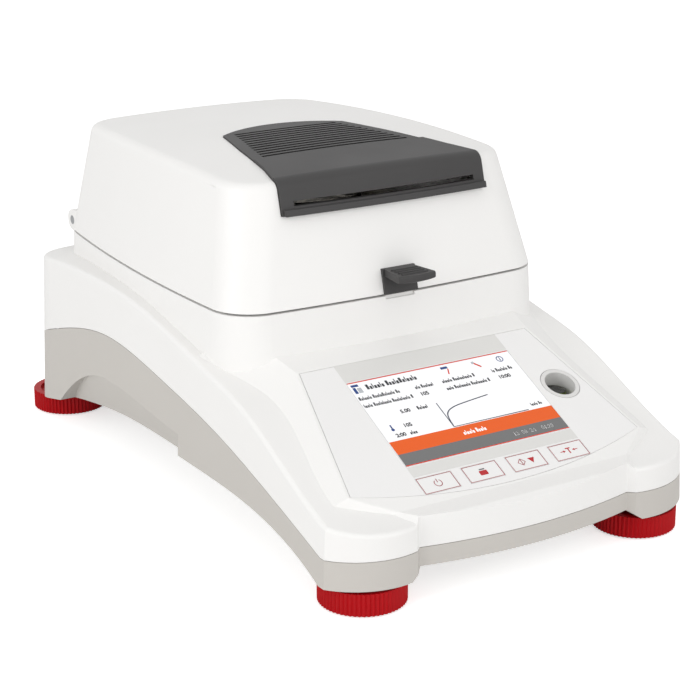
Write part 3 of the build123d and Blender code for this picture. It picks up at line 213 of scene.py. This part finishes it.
def plastic(name, code, roughness, shade=0.05, grain=1500.0, bump=0.25, coat=0.0, gloss=0.5):
    """Moulded plastic, film or rubber of one colour."""
    values = {"Color": paint(code), "Shade": shade, "Roughness": roughness, "Grain Scale": grain}
    material = finish(name, MOULDED, values, bump, coat=coat)
    material.node_tree.nodes["Principled BSDF"].inputs["Specular IOR Level"].default_value = gloss
    return material


def metal(name, code, roughness, lines=(40, 900, 900), shade=0.25, bump=0.2):
    """Metal with its drawing or turning lines along the axis of the smallest scale."""
    values = {"Color": paint(code), "Shade": shade, "Roughness": roughness, "Line Scale": lines}
    return finish(name, DRAWN, values, bump, metallic=1.0)


def clear(name, code, roughness):
    """Clear glass or liquid with a faint change of gloss."""
    material = plastic(name, code, roughness, shade=0.02, bump=0.0)
    shader = material.node_tree.nodes["Principled BSDF"]
    shader.inputs["Transmission Weight"].default_value = 1.0
    shader.inputs["IOR"].default_value = 1.5
    return material


def lit(name, code, strength, roughness=0.12):
    """Lit display colour under a smooth pane."""
    material = plastic(name, code, roughness, shade=0.03, bump=0.0, gloss=0.3)
    shader = material.node_tree.nodes["Principled BSDF"]
    shader.inputs["Emission Color"].default_value = paint(code)
    shader.inputs["Emission Strength"].default_value = strength
    return material


FINISHES = {
    "white_plastic": plastic("white_plastic", "F1F0EE", 0.42, shade=0.03),
    "grey_plastic": plastic("grey_plastic", "C6C2BC", 0.5, shade=0.04),
    "overlay_film": plastic("overlay_film", "F0EFEE", 0.34, shade=0.02, grain=2600.0, bump=0.12),
    "screen": lit("screen", "FBFBFC", 0.1),
    "dark_metal": metal("dark_metal", "3A3A3C", 0.45),
    "circuit_board": plastic("circuit_board", "1F6B45", 0.3, shade=0.5, grain=700.0, coat=0.4),
    "key_film": plastic("key_film", "F0EFEE", 0.34, shade=0.02, grain=2600.0, bump=0.12),
    "level_bezel": plastic("level_bezel", "DEDDDB", 0.32, shade=0.05),
    "vial": clear("vial", "C9DB77", 0.05),
    "stainless": metal("stainless", "C4C4C3", 0.22),
    "aluminium_sheet": metal("aluminium_sheet", "C9CBCD", 0.35),
    "ceramic": plastic("ceramic", "ECE6DA", 0.7, shade=0.15, grain=900.0, bump=0.5),
    "aluminium_dish": metal("aluminium_dish", "D6D8DA", 0.2, lines=(250, 250, 250), shade=0.12),
    "cell_aluminium": metal("cell_aluminium", "C6C8CA", 0.3, lines=(900, 30, 900)),
    "cast_aluminium": metal("cast_aluminium", "A7A9AB", 0.5, lines=(500, 500, 500), bump=0.5),
    "dark_plastic": plastic("dark_plastic", "424141", 0.5, shade=0.15, bump=0.3, gloss=0.3),
    "socket_metal": metal("socket_metal", "C2C3C4", 0.25, lines=(900, 60, 900)),
    "zinc_steel": metal("zinc_steel", "B4B6B8", 0.35),
    "clear_glass": clear("clear_glass", "F4F8F8", 0.02),
    "bright_reflector": metal("bright_reflector", "DCD8CE", 0.08, shade=0.08, bump=0.0),
    "lamp_glass": clear("lamp_glass", "F6F1E6", 0.03),
    "brass_nut": metal("brass_nut", "C9A24F", 0.3, lines=(900, 900, 60)),
    "pad_rubber": plastic("pad_rubber", "262626", 0.8, shade=0.3, grain=600.0, bump=0.6),
    "red_plastic": plastic("red_plastic", "B5000C", 0.4, shade=0.15, bump=0.15, gloss=0.22),
}
PRINTS = {
    "print_grey": plastic("print_grey", "DFDEDB", 0.4, shade=0.03, bump=0.1),
    "print_line_red": plastic("print_line_red", "A24046", 0.4, bump=0.1),
    "print_red": plastic("print_red", "B8101B", 0.4, bump=0.1),
    "print_dark": plastic("print_dark", "6A6466", 0.4, bump=0.1),
    "display_orange": lit("display_orange", "EC5F12", 0.02),
    "display_grey": lit("display_grey", "747474", 0.02),
    "display_red": lit("display_red", "DE3A22", 0.02),
    "display_ink": lit("display_ink", "3A3B40", 0.0),
    "display_blue": lit("display_blue", "2F4A86", 0.02),
    "display_navy": lit("display_navy", "2E3950", 0.0),
    "display_pale": lit("display_pale", "B9BDC2", 0.05),
    "display_white": lit("display_white", "F4F4F4", 0.2),
}

for part in frame["record"]["subparts"]:
    mesh = frame["nodes"][part["node"]].data
    mesh.materials.clear()
    mesh.materials.append(FINISHES[part["material_slot"]])


# The console's own directions: across, up its slope, and out of it

UP_SLOPE = Vector((0, cos(CONSOLE_TILT), sin(CONSOLE_TILT)))
OUTWARD = Vector((0, -sin(CONSOLE_TILT), cos(CONSOLE_TILT)))
CONSOLE_TURN = Matrix((Vector((1, 0, 0)), UP_SLOPE, OUTWARD)).transposed().to_4x4()
CONSOLE = Matrix.Translation(CONSOLE_ORIGIN) @ CONSOLE_TURN


def take_up(piece):
    """Makes a piece the only selected one."""
    bpy.ops.object.select_all(action="DESELECT")
    piece.select_set(True)
    bpy.context.view_layer.objects.active = piece


def lay_on_console(piece, name, material, body):
    """Turns a flat piece onto the slope, gives it its finish and lets it ride on its body."""
    piece.name = name
    piece.data.name = name
    piece.matrix_world = CONSOLE @ piece.matrix_world
    take_up(piece)
    bpy.ops.object.transform_apply(location=True, rotation=True, scale=True)
    piece.data.materials.clear()
    piece.data.materials.append(PRINTS[material])
    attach(piece, body)
    return piece


def thicken(piece, thickness):
    """Gives a flat piece its film thickness, away from the surface it is printed on."""
    film = piece.modifiers.new("film", "SOLIDIFY")
    film.thickness = thickness
    film.offset = 1.0
    take_up(piece)
    bpy.ops.object.modifier_apply(modifier="film")


def marks(name, patches, material, body="housing", corner=0.15, lift=LIFT):
    """Flat printed patches with rounded corners, from (across, down, width, height) in mm."""
    for index, (across, down, width, height) in enumerate(patches):
        bpy.ops.mesh.primitive_plane_add(size=1, location=(across * MM, -down * MM, lift * MM))
        if index == 0:
            piece = bpy.context.object
            bpy.ops.object.transform_apply(location=True, rotation=True, scale=True)
            bpy.ops.object.mode_set(mode="EDIT")
        bpy.ops.transform.resize(value=(width * MM, height * MM, 1),
                                 center_override=(across * MM, -down * MM, lift * MM))
    bpy.ops.mesh.select_all(action="SELECT")
    if corner:
        bpy.ops.mesh.bevel(offset=corner * MM, offset_type="OFFSET", segments=2, affect="VERTICES")
    bpy.ops.object.mode_set(mode="OBJECT")
    thicken(piece, FILM * MM)
    return lay_on_console(piece, name, material, body)


def frame_line(name, across, down, width, height, line, material, body, slot):
    """Thin printed frame: a plate inset by its line's width, with the middle taken out."""
    bpy.ops.mesh.primitive_plane_add(size=1, location=(across * MM, -down * MM, LIFT * MM))
    piece = bpy.context.object
    piece.scale = (width * MM, height * MM, 1)
    bpy.ops.object.transform_apply(location=True, rotation=True, scale=True)
    bpy.ops.object.mode_set(mode="EDIT")
    bpy.ops.mesh.select_all(action="SELECT")
    bpy.ops.mesh.inset(thickness=line * MM, depth=0)
    bpy.ops.mesh.delete(type="FACE")
    bpy.ops.object.mode_set(mode="OBJECT")
    thicken(piece, THIN_FILM * MM)
    return lay_on_console(piece, name, material, body)


def stroke(name, points, width, material, body="housing", smooth=False, lift=STROKE_LIFT):
    """Drawn line through (across, down) points in mm, flattened to a film."""
    bpy.ops.curve.primitive_nurbs_path_add(location=(0, 0, 0))
    piece = bpy.context.object
    curve = piece.data
    curve.splines.clear()
    line = curve.splines.new("NURBS" if smooth else "POLY")
    line.points.add(len(points) - 1)
    for knot, (across, down) in zip(line.points, points):
        knot.co = (across * MM, -down * MM, 0, 1)
    if smooth:
        line.order_u = 3
        line.use_endpoint_u = True
        line.resolution_u = 8
    curve.bevel_depth = width / 2 * MM
    curve.bevel_resolution = 1
    curve.use_fill_caps = True
    take_up(piece)
    bpy.ops.object.convert(target="MESH")
    piece.scale = (1, 1, STROKE_FLATNESS)
    piece.location = (0, 0, lift * MM)
    bpy.ops.object.transform_apply(location=True, rotation=True, scale=True)
    return lay_on_console(piece, name, material, body)


def disc(name, across, down, radius, corners, turn, material, body, ring=0.0):
    """Flat printed disc, triangle or diamond, filled or as a ring of the given width."""
    bpy.ops.mesh.primitive_circle_add(vertices=corners, radius=radius * MM, fill_type="NGON",
                                      location=(across * MM, -down * MM, LIFT * MM), rotation=(0, 0, turn))
    piece = bpy.context.object
    bpy.ops.object.transform_apply(location=True, rotation=True, scale=True)
    bpy.ops.object.mode_set(mode="EDIT")
    bpy.ops.mesh.select_all(action="SELECT")
    if ring:
        bpy.ops.mesh.inset(thickness=ring * MM, depth=0)
        bpy.ops.mesh.delete(type="FACE")
    else:
        bpy.ops.mesh.bevel(offset=0.05 * MM, segments=1, affect="VERTICES")
    bpy.ops.object.mode_set(mode="OBJECT")
    thicken(piece, THIN_FILM * MM)
    return lay_on_console(piece, name, material, body)


def figures(name, text, across, down, height, material):
    """Plain numbers on the display, as a thin mesh."""
    bpy.ops.object.text_add(location=(0, 0, 0))
    piece = bpy.context.object
    piece.data.body = text
    piece.data.size = height * 1.4 * MM
    piece.data.extrude = LIFT * MM
    piece.data.offset = 0.045 * height * MM
    piece.data.resolution_u = 3
    take_up(piece)
    bpy.ops.object.convert(target="MESH")
    piece.location = (across * MM, -(down + height / 2) * MM, LETTER_LIFT * MM)
    bpy.ops.object.transform_apply(location=True, rotation=True, scale=True)
    return lay_on_console(piece, name, material, "housing")


def word_row(across, down, length, height, rhythm):
    """Patches that stand for a line of small writing, without any letters."""
    patches = []
    at = across
    step = 0
    while at < across + length:
        width, gap, rise = rhythm[step % len(rhythm)]
        middle = down + (1 - rise) * height * 0.25
        patches.append((at + width * height / 2, middle, width * height, height * (0.62 + 0.38 * (rise > 0))))
        at += (width + gap) * height
        step += 1
    return patches


# Marks of a line of small writing: width and gap as parts of its height, and 1 for a tall one
WRITING = [(0.42, 0.14, 1), (0.36, 0.12, 0), (0.16, 0.12, 1), (0.4, 0.13, 0),
           (0.38, 0.12, 0), (0.15, 0.12, 1), (0.36, 0.42, 0), (0.4, 0.12, 1),
           (0.34, 0.13, 0), (0.38, 0.12, 0), (0.16, 0.11, 1), (0.4, 0.12, 0)]


def display_artwork():
    """What the display shows: bars, a drying plot, small writing left unreadable, and plain numbers."""
    half = SCREEN_HALF / MM - 0.35
    marks("display_bar_orange", [(0, 59.0, 2 * half, 8.4)], "display_orange", corner=0)
    marks("display_bar_grey", [(0, 66.8, 2 * half, 7.2)], "display_grey", corner=0)
    marks("display_edge_lines", [(0, 14.1, 2 * half, 0.55), (0, 70.65, 2 * half, 0.55)], "display_red",
          corner=0)
    marks("display_title", word_row(-39.2, 18.4, 28.5, 3.3, WRITING), "display_ink")
    rows = word_row(-47, 24.9, 22.5, 2.3, WRITING) + word_row(-47, 29.9, 27, 2.3, WRITING[2:])
    rows += word_row(-15, 25.0, 10.0, 2.3, WRITING[4:]) + word_row(1.0, 24.9, 19.0, 2.3, WRITING[1:])
    rows += word_row(0.6, 29.9, 26.0, 2.3, WRITING[3:]) + word_row(31.0, 24.9, 12.0, 2.3, WRITING[5:])
    rows += word_row(-21.6, 37.9, 5.6, 2.3, WRITING) + word_row(-34, 51.7, 4.0, 2.3, WRITING[1:])
    rows += word_row(37.4, 51.3, 6.0, 2.0, WRITING[2:])
    marks("display_writing", rows, "display_ink", corner=0.1)
    marks("display_bar_writing", word_row(-8.0, 59.1, 13.0, 2.6, WRITING[1:]), "display_white",
          corner=0.1, lift=0.08)
    figures("display_setpoint", "105", -14.8, 29.9, 2.3, "display_ink")
    figures("display_reading", "5.00", -31.2, 37.9, 2.3, "display_ink")
    figures("display_temperature", "105", -34.8, 46.7, 2.3, "display_ink")
    figures("display_elapsed", "2:00", -41.8, 51.7, 2.3, "display_ink")
    figures("display_limit", "10:00", 32.0, 29.9, 2.3, "display_ink")
    figures("display_clock", "12  08  24    01:20", 16.5, 66.9, 2.3, "display_white")
    stroke("display_axes", [(-10.3, 37.6), (-10.3, 54.2), (34.2, 54.2)], 0.5, "display_navy", lift=0.09)
    plot = [(-10.1, 53.6), (-9.9, 48.6), (-8.0, 44.2), (-2.7, 41.8), (6.0, 40.6), (19.2, 39.2)]
    stroke("display_plot", plot, 0.6, "display_navy", smooth=True)
    marks("display_tab_icon", [(-44.6, 16.2, 4.0, 1.5), (-45.7, 19.4, 1.6, 4.0)], "display_blue")
    marks("display_tab_page", [(-43.2, 19.6, 2.4, 3.4), (24.2, 17.2, 1.6, 1.6)], "display_pale")
    marks("display_plot_icon", [(7.2, 16.6, 4.0, 1.5)], "display_blue")
    stroke("display_plot_icon_slash", [(9.0, 17.6), (7.6, 21.2)], 0.7, "display_red")
    stroke("display_tool_icon", [(24.6, 17.6), (27.4, 20.8)], 1.0, "display_red")
    disc("display_info_ring", 40.2, 18.3, 2.0, 28, 0, "display_blue", "housing", ring=0.45)
    marks("display_info_mark", [(40.2, 18.7, 0.5, 1.6), (40.2, 17.3, 0.5, 0.5)], "display_blue", corner=0.1)
    stroke("display_thermometer", [(-41.2, 44.6), (-41.2, 47.2)], 0.8, "display_blue")
    disc("display_thermometer_bulb", -41.2, 47.8, 0.9, 20, 0, "display_blue", "housing")


def overlay_artwork():
    """Printed bands above and below the display window."""
    half = SCREEN_HALF / MM
    marks("overlay_band_top", [(0, 7.2, 2 * half, 11.6)], "print_grey", corner=0)
    marks("overlay_band_low", [(0, 74.9, 2 * half, 6.4)], "print_grey", corner=0)


def key_artwork():
    """Red frame and sign on each key, riding on the key."""
    for name, across in KEY_MIDDLES.items():
        frame_line("key_frame_" + name, across, KEY_DOWN, *KEY_FRAME, 0.3, "print_line_red",
                   "key_" + name + "_body", "key_film")
    power_sign(KEY_MIDDLES["power"])
    print_sign(KEY_MIDDLES["print"])
    start_sign(KEY_MIDDLES["start"])
    tare_sign(KEY_MIDDLES["tare"])


def power_sign(across):
    """Open ring with an upright stroke."""
    turns = [radians(35 + 290 * i / 20) for i in range(21)]
    ring = [(across + 2.0 * sin(turn), KEY_DOWN - 2.0 * cos(turn)) for turn in turns]
    body = "key_power_body"
    stroke("key_power_ring", ring, 0.4, "print_line_red", body)
    stroke("key_power_stroke", [(across, KEY_DOWN - 2.6), (across, KEY_DOWN - 0.3)], 0.4, "print_line_red",
           body)


def print_sign(across):
    """Small printer: a red box with a sheet above it."""
    body = "key_print_body"
    marks("key_print_box", [(across, KEY_DOWN + 0.6, 4.4, 2.8)], "print_red", body, corner=0.4)
    marks("key_print_sheet", [(across + 0.1, KEY_DOWN - 1.6, 3.0, 0.7)], "print_dark",
          body, corner=0.1)


def start_sign(across):
    """Diamond with a bar for start, and a filled triangle for stop."""
    body = "key_start_body"
    disc("key_start_diamond", across - 2.9, KEY_DOWN, 2.3, 4, 0, "print_line_red",
         body, ring=0.32)
    marks("key_start_bar", [(across - 2.9, KEY_DOWN, 0.4, 3.2)], "print_line_red",
          body, corner=0.05)
    disc("key_start_triangle", across + 3.1, KEY_DOWN - 0.3, 2.2, 3, pi, "print_red", body)


def tare_sign(across):
    """Two arrows that point at a T-shaped bar."""
    body = "key_tare_body"
    bar = [(across, KEY_DOWN - 1.5, 2.8, 0.6), (across, KEY_DOWN + 0.2, 0.6, 3.2)]
    marks("key_tare_bar", bar, "print_red", body, corner=0.05)
    for side, name in ((-1, "left"), (1, "right")):
        marks("key_tare_tail_" + name, [(across + side * 4.2, KEY_DOWN, 1.8, 0.35)], "print_red",
              body, corner=0.05)
        disc("key_tare_arrow_" + name, across + side * 2.9, KEY_DOWN, 0.9, 3, side * pi / 2, "print_red",
             body)


def studio_floor():
    """Wide pale floor that looks white to the camera and keeps the soft shadow."""
    bpy.ops.object.select_all(action="DESELECT")
    bpy.ops.mesh.primitive_plane_add(size=FLOOR_SIZE, location=(0, 0, 0))
    floor = bpy.context.object
    floor.name = "floor"
    material = bpy.data.materials.new("floor_white")
    material.use_nodes = True
    tree = material.node_tree
    shader = tree.nodes["Principled BSDF"]
    shader.inputs["Roughness"].default_value = 0.9
    place = tree.nodes.new("ShaderNodeTexCoord")
    effect = tree.nodes.new("ShaderNodeGroup")
    effect.node_tree = MOULDED
    effect.inputs["Color"].default_value = paint("F4F4F4")
    effect.inputs["Shade"].default_value = 0.01
    tree.links.new(place.outputs["Object"], effect.inputs["Vector"])
    tree.links.new(effect.outputs["Color"], shader.inputs["Base Color"])
    seen = tree.nodes.new("ShaderNodeLightPath")
    glow = tree.nodes.new("ShaderNodeMath")
    glow.operation = "MULTIPLY"
    glow.inputs[1].default_value = FLOOR_GLOW
    tree.links.new(seen.outputs["Is Camera Ray"], glow.inputs[0])
    tree.links.new(glow.outputs["Value"], shader.inputs["Emission Strength"])
    shader.inputs["Emission Color"].default_value = (1, 1, 1, 1)
    floor.data.materials.append(material)


def studio_world():
    """White surroundings: plain for the light, and full white where the camera or a gloss sees them."""
    world = bpy.data.worlds.new("studio")
    bpy.context.scene.world = world
    world.use_nodes = True
    tree = world.node_tree
    background = tree.nodes["Background"]
    background.inputs["Color"].default_value = (1, 1, 1, 1)
    path = tree.nodes.new("ShaderNodeLightPath")
    seen = path.outputs["Is Camera Ray"]
    for ray in ("Is Glossy Ray", "Is Transmission Ray"):
        either = tree.nodes.new("ShaderNodeMath")
        either.operation = "MAXIMUM"
        tree.links.new(seen, either.inputs[0])
        tree.links.new(path.outputs[ray], either.inputs[1])
        seen = either.outputs["Value"]
    level = tree.nodes.new("ShaderNodeMapRange")
    level.inputs["To Min"].default_value = PLAIN_LIGHT
    level.inputs["To Max"].default_value = 1.0
    tree.links.new(seen, level.inputs["Value"])
    tree.links.new(level.outputs["Result"], background.inputs["Strength"])


def soft_lamp(name, place, aim, power):
    """Large soft lamp that points at a place."""
    bpy.ops.object.light_add(type="AREA", location=place)
    lamp = bpy.context.object
    lamp.name = name
    lamp.data.size = LAMP_WIDTH
    lamp.data.energy = power
    lamp.rotation_euler = (Vector(aim) - Vector(place)).to_track_quat("-Z", "Y").to_euler()


def camera():
    """Camera that sees the instrument as the photo does."""
    bpy.ops.object.camera_add(location=CAMERA_PLACE, rotation=CAMERA_TURN)
    view = bpy.context.object
    view.name = "photo_camera"
    view.data.lens = CAMERA_LENS
    view.data.sensor_width = 36
    view.data.clip_start = 0.01
    bpy.context.scene.camera = view


display_artwork()
overlay_artwork()
key_artwork()
studio_floor()
studio_world()
for lamp_row in LAMPS:
    soft_lamp(*lamp_row)
camera()
bpy.context.scene.view_settings.view_transform = "Standard"
